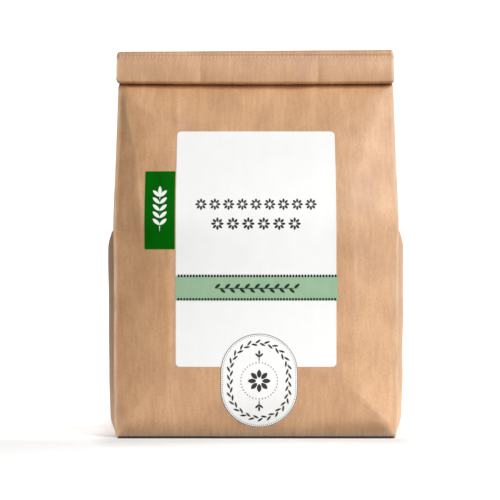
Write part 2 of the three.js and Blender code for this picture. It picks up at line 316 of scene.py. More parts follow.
def edit_points(piece, chosen):
    """Enters edit mode with only the chosen points selected."""
    mesh = piece.data
    mesh.polygons.foreach_set("select", np.zeros(len(mesh.polygons), bool))
    mesh.edges.foreach_set("select", np.zeros(len(mesh.edges), bool))
    mesh.vertices.foreach_set("select", np.asarray(chosen, bool))
    edit(piece)
    bpy.ops.mesh.select_mode(type="VERT")


def apply_modifier(piece, kind, **settings):
    take(piece)
    modifier = piece.modifiers.new(kind.title(), kind)
    for setting, value in settings.items():
        setattr(modifier, setting, value)
    bpy.ops.object.modifier_apply(modifier=modifier.name)


def smooth(piece, degrees):
    take(piece)
    bpy.ops.object.shade_smooth_by_angle(angle=math.radians(degrees))


def mark_wear_and_painted_light(piece, wear_and_painted_light):
    """Keeps how much each point of the paper is painted paler, as wear and painted highlight, for
    the material. Below 0 it is painted darker, as painted shade.
    """
    attribute = piece.data.attributes.new("wear_and_painted_light", "FLOAT", "POINT")
    attribute.data.foreach_set("value", np.asarray(wear_and_painted_light, np.float32))


def drift(points, size, seed):
    """Slow random waves over a surface, from -1 to 1."""
    shift = Vector((seed, 2 * seed, 3 * seed))
    return np.array([noise.noise(Vector(point) / size + shift) for point in points])


# Walls


def crease_x(z):
    bow = BOW * near(z - BOW_Z, BOW_REACH)
    return HALF_WIDTH - FOOT_TUCK * (1 - ease(0, FOOT_HEIGHT, z)) + bow


def body_depth(z):
    """From the middle plane to a crease: full up to the shoulder, then closing to the neck."""
    closing = mix(CREASE_DEPTH, NECK_DEPTH, (z - SHOULDER_Z) / (NECK_Z - SHOULDER_Z))
    return np.maximum(soft_min(CREASE_DEPTH, closing, SHOULDER_TURN), NECK_DEPTH)


def front_crease(z):
    """Depth of the front creases. Behind the flap they go in to the flattened neck."""
    tip = mix(PACK_FRONT, PACK_CENTRE - WALL_TIP, ease(PACK_Z, WALL_TOP, z))
    return mix(-body_depth(z), tip, ease(TUCK_Z, TUCK_END, z))


def back_crease(z):
    tip = mix(PACK_BACK, PACK_CENTRE + WALL_TIP, ease(PACK_Z + PACK_RISE, WALL_TOP, z))
    return mix(body_depth(z), tip, ease(NECK_Z, PACK_Z, z))


def panel_swell(x, z, full_depth):
    """How far a panel stands out past its creases: a hip roof with soft folds."""
    below_neck = np.maximum(0, NECK_Z - z)
    roof = NECK_DEPTH + ROOF_SLOPE * below_neck + ROOF_START * (1 - np.exp(-below_neck / ROOF_START))
    bowed = full_depth - FACE_BOW * (x / HALF_WIDTH) ** 2
    face = soft_min(bowed, roof, ROOF_TURN) - body_depth(z)
    from_crease = crease_x(z) - np.abs(x)
    side = mix(SIDE_SLOPE, HIGH_SLOPE, ease(*SIDE_RISE, z)) * from_crease
    foot = FOOT_SLOPE * z
    slopes = np.stack(np.broadcast_arrays(face, side, foot))
    tiny = 1e-6  # keeps the powers finite
    above = slopes.min(axis=0) > tiny
    slopes = np.maximum(slopes, tiny)
    swell = (slopes ** -PANEL_FOLD).sum(axis=0) ** (-1 / PANEL_FOLD)
    return np.where(above & (z < NECK_Z), swell, 0)


# Soft folds of the front in mm: the ends of each, x and z, the height of its ridge, and its reach
# to the left and the right of the way from the first end to the second
FRONT_FOLDS = (
    # from the flap's ends down to the label, where the panel turns over to its sides
    ((-58, 149), (-51, 119), 1.3, 8, 5),
    ((-51.5, 126), (-47, 82), 1.4, 12, 6),
    ((56, 148), (46.6, 119), 0.5, 12, 10),
    ((47, 122), (37, 96), 0.6, 12, 10),
    ((40, 112), (42, 30), 1.0, 8, 14),
    # down the label's left edge, and from there over the shoulder
    ((-35.5, 88), (-36, 20), 0.6, 3, 13),
    # tension above the label's upper corners
    ((-57, 146), (-37, 131), 0.6, 5, 4),
    ((-34, 148), (-33.5, 128), 0.8, 4, 3),
    ((35, 148), (39, 131), 0.5, 4, 4),
    # streaks under the flap
    ((-46, 149.5), (-45.5, 139), 0.3, 2, 3),
    ((-12, 149.5), (-14, 141), 0.25, 4, 3),
    ((4, 149.5), (5, 142), 0.2, 3, 4),
    ((23.5, 149.5), (23, 135), 0.35, 2.5, 3),
    # from the lower corners up to the panel's middle
    ((-58.4, 3.4), (-44.5, 18), 0.6, 6, 7),
    ((58.4, 3), (39, 22), 1.6, 8, 8),
    ((57.5, 2.6), (48.5, 7.4), 0.22, 1.6, 2.2),
)
BACK_FOLDS = (
    ((57, 147), (50, 112), 0.7, 9, 6),
    ((-56, 147), (-49, 112), 0.8, 7, 8),
    ((-50, 113), (-44, 70), 0.5, 7, 8),
    ((49, 114), (45, 60), 0.5, 7, 8),
    ((-58, 4), (-42, 20), 0.5, 5, 7),
    ((58, 4), (42, 19), 0.5, 7, 5),
    ((-20, 149), (-17, 126), 0.5, 4, 5),
    ((14, 149), (21, 130), 0.5, 4, 5),
    ((34, 149), (37, 134), 0.4, 3, 4),
)


def folds_relief(x, z, folds):
    """Height of the soft folds, and how worn their ridges are."""
    height, ridge = 0, 0
    for start, end, high, left, right in folds:
        (x0, z0), (x1, z1) = start, end
        run_x, run_z = x1 - x0, z1 - z0
        length = math.hypot(run_x, run_z)
        along = ((x / MM - x0) * run_x + (z / MM - z0) * run_z) / length**2
        across = ((x / MM - x0) * run_z - (z / MM - z0) * run_x) / length
        reach = np.where(across < 0, left, right)
        ends = ease(-FOLD_PAST, FOLD_END, along) * (1 - ease(1 - FOLD_END, 1 + FOLD_PAST, along))
        height = height + high * MM * ends * np.exp(-np.abs(across) / reach)
        ridge = np.maximum(ridge, high * ends * near(across, RIDGE_WEAR[0]))
    return height, ridge


def lip(distance):
    """The paper stands a little proud along both sides of a crease."""
    return LIP * near(distance, LIP_REACH)


def crease_lips(from_crease, z):
    """The lips along an upright crease, which start a little above the floor."""
    return lip(from_crease) * ease(*LIP_START, z)


def panel_relief(x, z, folds, seed):
    """What the paper's folds and waves add to a panel, and nothing at its creases."""
    inside = ease(*RELIEF_SIDE, crease_x(z) - np.abs(x)) * ease(*RELIEF_FOOT, z)
    flat = np.column_stack([x, np.zeros_like(x), z])
    waves = sum(high * drift(flat, size, seed + draw) for high, size, draw in PANEL_WAVES)
    return (folds_relief(x, z, folds)[0] + waves) * inside


def row_height(up):
    """The height of a grid's row: rows are closer together at the foot and at the neck."""
    return np.interp((up + 1) / 2, (0, 0.075, 0.845, 1), (0, 6 * MM, 138 * MM, WALL_TOP))


def spaced(across):
    """Columns 1.36 times as wide in the middle, and close together near the creases, where the
    paper bends most."""
    return across * (1.36 - 0.36 * across**2)


def label_cover(x, z):
    """1 under the label, which holds the paper smooth, fading out beside it."""
    low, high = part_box("label")
    across, up = (
        ease(start - LABEL_MARGIN, start + LABEL_MARGIN, place)
        * (1 - ease(end - LABEL_MARGIN, end + LABEL_MARGIN, place))
        for place, start, end in ((x, low.x, high.x), (z, low.z, high.z))
    )
    return across * up


def front_place(points):
    across, z = spaced(points[:, 0]), row_height(points[:, 1])
    x = across * crease_x(z)
    lips = crease_lips(crease_x(z) - np.abs(x), z) * (z < TUCK_Z)
    relief = panel_relief(x, z, FRONT_FOLDS, 1.7) * (1 - label_cover(x, z))
    out = panel_swell(x, z, FRONT_DEPTH) + relief
    y = front_crease(z) - out * (1 - ease(TUCK_Z, SWELL_GONE, z)) - lips
    return np.column_stack([x + np.sign(across) * lips, y, z])


def back_place(points):
    across, z = spaced(points[:, 0]), row_height(points[:, 1])
    x = -across * crease_x(z)
    lips = crease_lips(crease_x(z) - np.abs(x), z) * (z < NECK_Z)
    relief = panel_relief(x, z, BACK_FOLDS, 4.3) + lip(z - MACHINE_CREASE_Z)
    y = back_crease(z) + (panel_swell(x, z, BACK_DEPTH) + relief) * (z < NECK_Z) + lips
    return np.column_stack([x - np.sign(across) * lips, y, z])


def gusset_place(side):
    """A gusset, swollen by the contents, and above them folded in along its middle."""

    def place(points):
        across, z = side * points[:, 0], row_height(points[:, 1])
        front, back = front_crease(z), back_crease(z)
        y = mix(front, back, (across + 1) / 2)
        depth = np.minimum((back - front) / 2, CREASE_DEPTH)
        grow = 1 - (1 - clamp01(z / SIDE_FOOT)) ** 3
        grow = grow * mix(LOW_SWELL, 1, ease(SIDE_FOOT, FULL_SWELL, z))
        swell = SIDE_SWELL * grow * (1 - ease(SWELL_END, SHOULDER_Z, z))
        inward = np.sqrt(np.maximum(0, CREASE_DEPTH**2 - depth**2))
        inward = inward * (1 - np.abs(across) ** GUSSET_FOLD)
        from_crease = (1 - np.abs(across)) * depth
        lips = crease_lips(from_crease, z) * np.where(across < 0, z < TUCK_Z, z < NECK_Z)
        high, size = GUSSET_WAVES
        waves = high * drift(np.column_stack([y, np.full_like(y, side), z]), size, 2.9)
        waves = waves * ease(*GUSSET_SIDE, from_crease) * ease(*GUSSET_FOOT, z)
        bend = gusset_creases(across * depth, z) + waves * (1 - ease(*GUSSET_CALM, z))
        x = crease_x(z) + swell * (1 - across**2) - inward + bend + lips
        return np.column_stack([side * x, y + np.sign(across) * lips, z])

    return place


def gusset_creases(along, z):
    """Marks of the folds that the bag was sold flat by: two slanting up from the bottom corners
    to the gusset's middle, one from there to the back, and one up its middle."""
    slant = (MACHINE_CREASE_Z - z - np.abs(along)) / math.sqrt(2)
    below = 1 - ease(MACHINE_CREASE_Z - MARK_HEIGHT, MACHINE_CREASE_Z, z)
    to_back = ease(0, MARK_LENGTH, along) * near(z - MACHINE_CREASE_Z, LIP_REACH)
    upright = ease(MACHINE_CREASE_Z, MACHINE_CREASE_Z + MARK_LENGTH, z) * near(along, LIP_REACH)
    upright = upright * (1 - ease(*MARK_FADE, z))
    marks = np.maximum(near(slant, LIP_REACH) * below * SLANT_MARK, to_back)
    return LIP * (marks - UPRIGHT_MARK * upright) * ease(*MARK_START, z)


def lift_edge(points):
    """The lowest edge stays a little off the floor."""
    points[:, 2] += EDGE_LIFT * (1 - ease(0, FOOT_HEIGHT, points[:, 2]))
    return points


def painted_shade(wear_and_painted_light, z, there, shade_settings):
    """Painted shade in place of wear round a height, on the part of the paper that is there."""
    height, reach, share = shade_settings
    painted_darkening = near(z - height, reach) * there
    return np.where(painted_darkening > SHADE_SEEN, -share * painted_darkening, wear_and_painted_light)


def wall_wear_and_painted_light(points):
    """The colour is rubbed off along the ridges of folds, and painted paler along the creases and
    the lowest edge, partly as wear and partly as painted light. Under the flap it is painted darker,
    as painted shade."""
    x, y, z = points.T
    off_crease = np.minimum(np.abs(y - front_crease(z)), np.abs(y - back_crease(z)))
    from_crease = np.hypot(crease_x(z) - np.abs(x), off_crease)
    reach, share, change = CREASE_WEAR_AND_HIGHLIGHT
    patchy = share + change * drift(points, PATCH, 8.1)
    # paler along the creases: partly wear, partly painted highlight
    wear_and_painted_light = near(from_crease, reach) * patchy * (z < TUCK_Z)
    # paler along the lowest edge: partly wear, partly painted light on the shaded foot
    wear_and_painted_light = np.maximum(wear_and_painted_light, near(z - EDGE_LIFT, EDGE_WEAR_AND_LIGHT[0]) * EDGE_WEAR_AND_LIGHT[1])
    for folds, facing in ((FRONT_FOLDS, y < front_crease(z)), (BACK_FOLDS, y > back_crease(z))):
        wear_and_painted_light = np.maximum(wear_and_painted_light, RIDGE_WEAR[1] * folds_relief(x, z, folds)[1] * facing)
    machine_crease = near(z - MACHINE_CREASE_Z, LIP_REACH) * (y > back_crease(z))
    wear_and_painted_light = np.maximum(wear_and_painted_light, MACHINE_WEAR * machine_crease)
    # painted shade where the flap's shadow falls on the neck
    return painted_shade(clamp01(wear_and_painted_light), z, np.abs(y) < NECK_DEPTH + 2 * MM, UNDER_FLAP_SHADE)


def paper_bag():
    """The four walls, sewn up along the creases, with the base turned in under them."""
    panels = []
    for columns, place in (
        (FRONT_COLUMNS, front_place),
        (GUSSET_COLUMNS, gusset_place(1)),
        (BACK_COLUMNS, back_place),
        (GUSSET_COLUMNS, gusset_place(-1)),
    ):
        panels.append(move_points(grid("panel", columns, WALL_ROWS), place))
    bag = join(panels, "paper_bag")
    edit_points(bag, np.ones(len(bag.data.vertices)))
    bpy.ops.mesh.remove_doubles(threshold=WELD)
    end_edit()
    move_points(bag, lift_edge)
    edit_points(bag, points_of(bag)[:, 2] < EDGE_LIFT + LEVEL)
    bpy.ops.mesh.extrude_edges_move()
    narrow = 1 - BASE_INSET / HALF_WIDTH
    shallow = 1 - BASE_INSET / CREASE_DEPTH
    bpy.ops.transform.resize(value=(narrow, shallow, 1), center_override=(0, 0, 0))
    bpy.ops.transform.translate(value=(0, 0, BASE_Z - EDGE_LIFT))
    bpy.ops.mesh.edge_face_add()
    end_edit()
    edit_points(bag, points_of(bag)[:, 2] > WALL_TOP - LEVEL)
    bpy.ops.mesh.edge_face_add()
    end_edit()
    mark_wear_and_painted_light(bag, wall_wear_and_painted_light(points_of(bag)))
    smooth(bag, PAPER_ANGLE)
    return bag


def base_flap(side, walls):
    """One of the two flaps folded over each other under the base, cut to a trapezium."""
    reach = CREASE_DEPTH + BASE_FLAP_TIP - BASE_FLAP_INSET
    flap = grid("base_flap", 60, 24)

    def place(points):
        in_from_edge = (points[:, 1] + 1) / 2
        half = HALF_WIDTH - FOOT_TUCK - BASE_FLAP_SIDE - reach * in_from_edge
        y = side * (CREASE_DEPTH - BASE_FLAP_INSET - reach * in_from_edge)
        below = np.full(len(points), -2 * MM)
        return np.column_stack([-side * points[:, 0] * half, y, below])

    move_points(flap, place)
    apply_modifier(flap, "SHRINKWRAP", target=walls, wrap_method="PROJECT", use_project_z=True)
    apply_modifier(flap, "SOLIDIFY", thickness=BASE_FLAP, offset=-1)
    mark_wear_and_painted_light(flap, np.zeros(len(flap.data.vertices)))
    smooth(flap, FLAT_ANGLE)
    return flap


def back_seam(walls):
    """The strip up the back where the sheet is glued to itself."""
    low = Vector((-SEAM_HALF, 0, SEAM_START))
    high = Vector((SEAM_HALF, 0, NECK_Z - 1 * MM))
    seam = flat_piece("back_seam", low, high, 0.2 * MM, (12, 110), behind=True)
    lay_on(seam, walls, SEAM, behind=True)
    edge = SEAM_HALF - np.abs(points_of(seam)[:, 0])
    mark_wear_and_painted_light(seam, SEAM_WEAR[1] * near(edge, SEAM_WEAR[0]))
    return seam


# The folded top


def fold_section(along, offset, high, low):
    """Depth and height of a layer, at a share of its way from the neck to the toothed edge.

    The way goes up the back, over the top fold, down, round the lower fold and up the front.
    offset is the layer's place among the others, positive to the back.
    """
    thick = OUTER_LAYER + PAPER / 2
    turn_z = high - TOP_PRESS * (TOP_BEND + thick)
    return_z = low + LOW_PRESS * (LOW_BEND + thick)
    middle = PACK_CENTRE - 2 * TOP_BEND
    front = middle - 2 * LOW_BEND
    share = [clamp01((along - a) / (b - a)) for a, b in zip(WAY_STOPS[:-1], WAY_STOPS[1:])]
    over, under = share[1] * math.pi, share[3] * math.pi
    rise = (PACK_CENTRE + offset, mix(PACK_Z, turn_z, share[0]))
    crest = (
        PACK_CENTRE - TOP_BEND + (TOP_BEND + offset) * np.cos(over),
        turn_z + TOP_PRESS * (TOP_BEND + offset) * np.sin(over),
    )
    fall = (middle - offset, mix(turn_z, return_z, share[2]))
    turn = (
        middle - LOW_BEND + (LOW_BEND - offset) * np.cos(under),
        return_z - LOW_PRESS * (LOW_BEND - offset) * np.sin(under),
    )
    lean = FACE_LEAN * share[4] ** 2
    face = (front + offset + lean, mix(return_z, TEETH_Z, share[4]))
    before = [along < stop for stop in WAY_STOPS[1:-1]]
    parts = zip(rise, crest, fall, turn)
    return [np.select(before, part, last) for part, last in zip(parts, face)]


def dent_depth(x):
    """The flap is creased in where the gussets' inner folds end, more steeply at the left."""
    depth = 0
    for place, left, right in DENTS:
        away = np.where(x < place, (place - x) / left, (x - place) / right)
        depth = np.maximum(depth, (1 - clamp01(away)) ** 2)
    return DENT_DEPTH * depth


def tooth_rise(x, shift):
    """The toothed edge: 1 at the teeth's tips, -1 in the notches between them."""
    return 4 * np.abs(((x - FLAP_LEFT) / TOOTH_PITCH + shift) % 1 - 0.5) - 1


def layer_place(left, right, offset, teeth_shift):
    """Places a grid as one layer of the folded top, from left to right."""

    def place(points):
        x = mix(left, right, (points[:, 0] + 1) / 2)
        along = layer_rows(points[:, 1])
        across = 2 * (x - FLAP_LEFT) / (FLAP_RIGHT - FLAP_LEFT) - 1
        from_end = np.minimum(x - FLAP_LEFT, FLAP_RIGHT - x)
        past = 1 - clamp01(from_end / FLAP_CORNER)
        shrink = FLAP_CORNER * (1 - np.sqrt(1 - past**2))
        high = TOP_Z + TOP_TILT * across - shrink
        low = FLAP_Z - FLAP_SAG * (1 - across**2) + shrink
        pair = np.sign(offset) * LAYER_STEP  # two layers meet in each crease at the ends
        pinched = mix(offset, pair + (offset - pair) * PAPER / LAYER_STEP, past**2)
        y, z = fold_section(along, pinched, high, low)
        face = ease(*FACE_SPAN, along)
        wave = FLAP_WAVE * np.sin(2 * math.pi * x / WAVE_LENGTH + 3 * along)
        y += dent_depth(x) * face * mix(1, DENT_TOP, ease(*DENT_SPAN, along))
        y += wave * ease(*WAVE_SPAN, along)
        y -= FLAP_BOW * (1 - across**2) * face
        z += TOOTH_HEIGHT / 2 * tooth_rise(x, teeth_shift) * (along > CUT_SPAN[1])
        z -= INNER_TEETH * ease(*INNER_SPAN, along) * (offset > -LAYER_STEP)
        y -= TEETH_CURL * ease(*CURL_SPAN, along) * (offset < 0)
        return np.column_stack([x, y, z])

    return place


def layer_rows(up):
    """The share of a layer's way that a grid's row is at: rows are closer together behind the
    teeth, over the lower fold and at the cut edge."""
    rows = (0, 0.25, 0.38, 0.42, 0.72, 0.78, 0.94, 1)
    return np.interp((up + 1) / 2, rows, (0, 0.325, 0.348, 0.36, 0.705, 0.73, 0.985, 1))


def paper_layer(left, right, offset, teeth_shift=0.0):
    columns = round((right - left) / TOOTH_PITCH * TOOTH_COLUMNS)
    layer = grid("layer", columns, LAYER_ROWS)
    along = layer_rows(points_of(layer)[:, 1])
    move_points(layer, layer_place(left, right, offset, teeth_shift))
    x, _, z = points_of(layer).T
    ends = near(np.minimum(x - FLAP_LEFT, FLAP_RIGHT - x), FLAP_END_WEAR)
    folds = np.maximum(*(share * near(along - at, reach) for at, reach, share in LAYER_WEAR))
    # the cut edge is painted paler at the teeth's tips, as painted highlight, and darker in the
    # notches, as painted shade
    teeth_highlight_and_shade = tooth_rise(x, teeth_shift) * ease(*CUT_SPAN, along)
    wear_and_painted_light = np.where(along > CUT_SPAN[0], teeth_highlight_and_shade, np.maximum(ends, folds))
    # the layer behind the teeth is painted darker there, as painted shade
    behind = (along > BEHIND_TEETH[0]) * (along < BEHIND_TEETH[1])
    mark_wear_and_painted_light(layer, painted_shade(wear_and_painted_light, z, behind, TEETH_GAP_SHADE))
    apply_modifier(layer, "SOLIDIFY", thickness=PAPER, offset=0)
    return layer


def folded_top():
    """The front and the back of the neck, and between them the gussets, folded over twice."""
    left_end, right_end = FLAP_LEFT + GUSSET_REACH, FLAP_RIGHT - GUSSET_REACH
    layers = [
        paper_layer(FLAP_LEFT, FLAP_RIGHT, -OUTER_LAYER),
        paper_layer(FLAP_LEFT, left_end, -INNER_LAYER, 0.2),
        paper_layer(right_end, FLAP_RIGHT, -INNER_LAYER, 0.3),
        paper_layer(FLAP_LEFT, left_end, INNER_LAYER, 0.4),
        paper_layer(right_end, FLAP_RIGHT, INNER_LAYER, 0.6),
        paper_layer(FLAP_LEFT, FLAP_RIGHT, OUTER_LAYER, 0.5),
    ]
    top = join(layers, "folded_top")
    smooth(top, PAPER_ANGLE)
    return top


# The stickers


def flat_piece(name, low, high, corner, cuts=(1, 1), behind=False):
    """A flat rounded piece beside the bag, cut across and up so that it can bend."""
    place = ((low.x + high.x) / 2, -FLAT_Y if behind else FLAT_Y, (low.z + high.z) / 2)
    upright = (math.radians(-90 if behind else 90), 0, 0)
    bpy.ops.mesh.primitive_plane_add(size=1, location=place, rotation=upright)
    piece = named(name)
    piece.scale = (high.x - low.x, high.z - low.z, 1)
    bpy.ops.object.transform_apply()
    edit(piece)
    bpy.ops.mesh.bevel(offset=corner, segments=10, affect="VERTICES")
    end_edit()
    return cut_up(piece, cuts)


def cut_up(piece, cuts):
    """Cuts a piece into columns and rows of even width."""
    points = points_of(piece)
    low, high = Vector(points.min(axis=0)), Vector(points.max(axis=0))
    edit(piece)
    for axis, count in (((1, 0, 0), cuts[0]), ((0, 0, 1), cuts[1])):
        for cut in range(1, count):
            bpy.ops.mesh.select_all(action="SELECT")
            bpy.ops.mesh.bisect(plane_co=low.lerp(high, cut / count), plane_no=axis)
    end_edit()
    return piece


def lay_on(piece, target, thickness, behind=False):
    """Presses a flat piece back onto what it is stuck to, and gives it its thickness."""
    ways = {"use_positive_direction": not behind, "use_negative_direction": behind}
    project = {"wrap_method": "PROJECT", "use_project_y": True}
    apply_modifier(piece, "SHRINKWRAP", target=target, **project, **ways)
    apply_modifier(piece, "SOLIDIFY", thickness=thickness, offset=1)
    smooth(piece, FLAT_ANGLE)
    return piece


def sticker(name, corner, cuts, target):
    low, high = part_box(name)
    return lay_on(flat_piece(name + "_sticker", low, high, corner, cuts), target, STICKER)


def together(name, *pieces):
    """A copy of some pieces as one, for others to be laid on."""
    return join([copied(piece, (0, 0)) for piece in pieces], name)


# Printed ornaments, made flat at the middle of the front's plane and copied into place


def flat_disc(width, height, sides):
    bpy.ops.mesh.primitive_circle_add(
        vertices=sides, radius=0.5, fill_type="NGON", rotation=(math.radians(90), 0, 0)
    )
    disc = named("disc")
    disc.scale = (width, height, 1)
    bpy.ops.object.transform_apply()
    return disc


def flat_leaf(length, width):
    """A pointed leaf that starts at the middle and points up."""
    leaf = flat_disc(width, length, 12)

    def pinch(points):
        rise = points[:, 2] / (length / 2)
        points[:, 0] *= np.sqrt(np.maximum(0, 1 - rise**2)) * 0.6 + 0.4
        points[:, 2] += length / 2
        return points

    return move_points(leaf, pinch)


def placed(piece, place, turn=0.0):
    """Turns a piece in the front's plane and moves it to x and z there."""
    take(piece)
    piece.rotation_euler = (0, turn, 0)
    piece.location = (place[0], 0, place[1])
    bpy.ops.object.transform_apply()
    return piece


def copied(piece, place, turn=0.0):
    """A copy with its own mesh, turned and moved there."""
    take(piece)
    bpy.ops.object.duplicate()
    return placed(bpy.context.active_object, place, turn)


def gathered(name, template, copies):
    """Joins the copies of a template that is no longer needed."""
    bpy.data.objects.remove(template)
    return join(copies, name)


def circle(count, radius, x=0, z=0):
    """Evenly spaced places round a circle, each with its turn outwards."""
    turns = [2 * math.pi * step / count for step in range(count)]
    return [((x + radius * math.sin(turn), z + radius * math.cos(turn)), turn) for turn in turns]


def rosette(size):
    """A flower of pointed petals round a small open middle."""
    petal = flat_leaf(length=size * 0.36, width=size * 0.2)
    petals = [copied(petal, place, turn) for place, turn in circle(8, size * 0.13)]
    return gathered("rosette", petal, petals)


def row_of(template, count, pitch, x, z, turns=(0.0,)):
    """Evenly spaced copies in a row, centred on x."""
    start = x - pitch * (count - 1) / 2
    places = [(start + pitch * step, z) for step in range(count)]
    copies = [copied(template, place, turns[i % len(turns)]) for i, place in enumerate(places)]
    return gathered("row", template, copies)


def sprig(length, pairs, leaf_length, leaf_width):
    """A straight stem with pairs of leaves and one at its tip, centred and upright."""
    leaf = flat_leaf(leaf_length, leaf_width)
    parts = [placed(flat_disc(0.45 * MM, length, 8), (0, -leaf_length / 4))]
    for pair in range(pairs):
        height = -length / 2 + length * (pair + 0.7) / (pairs + 0.6)
        for lean in (math.radians(48), math.radians(-48)):
            parts.append(copied(leaf, (0, height), lean))
    parts.append(copied(leaf, (0, length / 2 - leaf_length * 0.55)))
    return gathered("sprig", leaf, parts)


def middle_of(name):
    low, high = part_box(name)
    return (low.x + high.x) / 2, (low.z + high.z) / 2


def seal_path(share, inset):
    """A point on the seal's outline moved in by inset, and the turn of its outward side."""
    low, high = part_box("seal")
    middle = middle_of("seal")
    radius = (high.x - low.x) / 2 - inset
    straight = (high.z - low.z) - (high.x - low.x)
    arc = math.pi * radius
    run = (share % 1) * 2 * (arc + straight)
    side = 1 if run < arc + straight else -1
    run = run % (arc + straight)
    if run < arc:  # over the top from the left, or under the foot from the right
        turn = run / radius - math.pi / 2
        x, z = radius * math.sin(turn), straight / 2 + radius * math.cos(turn)
    else:
        turn = math.pi / 2
        x, z = radius, straight / 2 - (run - arc)
    place = (middle[0] + side * x, middle[1] + side * z)
    return place, turn + (0 if side > 0 else math.pi)


def ring_of(template, count, inset, lean=0.0):
    """Evenly spaced copies along the seal's outline, each leaning from the way out."""
    copies = []
    for step in range(count):
        place, turn = seal_path(step / count, inset)
        turn = turn + lean * (1 if step % 2 else -1) + math.pi / 2
        copies.append(copied(template, place, turn))
    return gathered("ring", template, copies)


def outline_ring(inset, width):
    """A thin line that follows the seal's outline."""
    low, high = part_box("seal")
    step = Vector((inset, 0, inset))
    ring = flat_piece("outline", low + step, high - step, SEAL_CORNER - inset - 2 * OPEN_CORNER)
    edit(ring)
    bpy.ops.mesh.select_all(action="SELECT")
    bpy.ops.mesh.inset(thickness=width)
    bpy.ops.mesh.delete(type="FACE")
    end_edit()
    return cut_up(ring, (18, 22))


def printed(name, parts, target):
    """Joins flat ornaments and prints them on what lies under them."""

    def in_front(points):
        points[:, 1] = FLAT_Y
        return points

    return lay_on(move_points(join(parts, name), in_front), target, INK)


def label_ornaments(target):
    """Two rows of small flowers, where a title would be."""
    rows = [
        row_of(rosette(5.0 * MM), count=9, pitch=5.7 * MM, x=0, z=97.3 * MM),
        row_of(rosette(5.4 * MM), count=6, pitch=6.4 * MM, x=0, z=89.2 * MM),
    ]
    return printed("title_flowers", rows, target)


def band_dots(target):
    """The dotted line along each long edge of the band."""
    low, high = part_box("band")
    middle = middle_of("band")[0]
    rows = []
    for x, z in ((middle + 0.25 * MM, high.z + 0.1 * MM), (middle + 0.1 * MM, low.z + 0.5 * MM)):
        dot = flat_disc(0.98 * MM, 1.2 * MM, 10)
        rows.append(row_of(dot, count=53, pitch=1.25 * MM, x=x, z=z))
    return printed("band_dots", rows, target)


def band_leaves(target):
    """A thin stem along the middle of the band, with leaves above and below it by turns."""
    x, z = middle_of("band")
    count, pitch, lean = 17, 2.05 * MM, math.radians(50)
    leaf = flat_leaf(length=2.9 * MM, width=1.25 * MM)
    garland = row_of(leaf, count, pitch, x - 0.8 * MM, z, (lean, math.pi - lean))
    stem = cut_up(flat_disc(count * pitch, 0.4 * MM, 24), (24, 1))
    return printed("band_leaves", [garland, placed(stem, (x, z))], target)


def tab_sprig(target):
    """A leafy sprig up the middle of the tab."""
    twig = sprig(16.5 * MM, pairs=5, leaf_length=3.9 * MM, leaf_width=1.5 * MM)
    return printed("tab_sprig", [placed(twig, middle_of("tab"))], target)


def seal_lines(target):
    """The fine lines round the seal and round its medallion."""
    line = outline_ring(inset=0.05 * MM, width=0.22 * MM)
    ring = ring_of(flat_disc(0.36 * MM, 0.36 * MM, 6), count=130, inset=0.85 * MM)
    dot = flat_disc(0.5 * MM, 0.5 * MM, 8)
    dots = [copied(dot, place) for place, _ in circle(36, 7.6 * MM, *middle_of("seal"))]
    return printed("seal_lines", [line, ring, gathered("dots", dot, dots)], target)


def seal_ornaments(target):
    """A wreath of leaves round a flower, with a small sprig over it and under it."""
    x, z = middle_of("seal")
    leaf = flat_leaf(length=2.7 * MM, width=0.85 * MM)
    wreath = ring_of(leaf, count=52, inset=3.9 * MM, lean=math.radians(26))
    flower = placed(rosette(9.6 * MM), (x, z))
    twig = sprig(3.4 * MM, pairs=1, leaf_length=2.2 * MM, leaf_width=0.9 * MM)
    over = copied(twig, (x, z + 10.2 * MM))
    under = placed(twig, (x, z - 10.2 * MM), math.pi)
    return printed("seal_ornaments", [wreath, flower, over, under], target)


# Materials


def linear(code):
    """A colour written as sRGB hex, as the linear colour that Blender wants."""
    values = [int(code[i : i + 2], 16) / 255 for i in (1, 3, 5)]
    return [v / 12.92 if v <= 0.04045 else ((v + 0.055) / 1.055) ** 2.4 for v in values] + [1]


def set_inputs(node, values):
    for socket, value in values.items():
        node.inputs[socket.replace("_", " ")].default_value = value


def new_material(name, **inputs):
    """A material and its shader, with the shader's inputs set."""
    material = bpy.data.materials.new(name)
    material.use_nodes = True
    shader = material.node_tree.nodes["Principled BSDF"]
    set_inputs(shader, inputs)
    return material, shader


def link(material, node, sources):
    """Feeds a node's inputs from other sockets."""
    for socket, source in sources.items():
        material.node_tree.links.new(source, node.inputs[socket])


def add_node(material, kind, settings=None, links=None, **inputs):
    """Adds a shader node. links maps its inputs to the sockets that feed them."""
    node = material.node_tree.nodes.new("ShaderNode" + kind)
    for setting, value in (settings or {}).items():
        setattr(node, setting, value)
    set_inputs(node, inputs)
    link(material, node, links or {})
    return node


def colours(ramp, *stops):
    """Sets a ramp's colours: each stop is a place from 0 to 1 and an sRGB hex."""
    elements = ramp.color_ramp.elements
    while len(elements) < len(stops):
        elements.new(1)
    for element, (place, code) in zip(elements, stops):
        element.position = place
        element.color = linear(code)


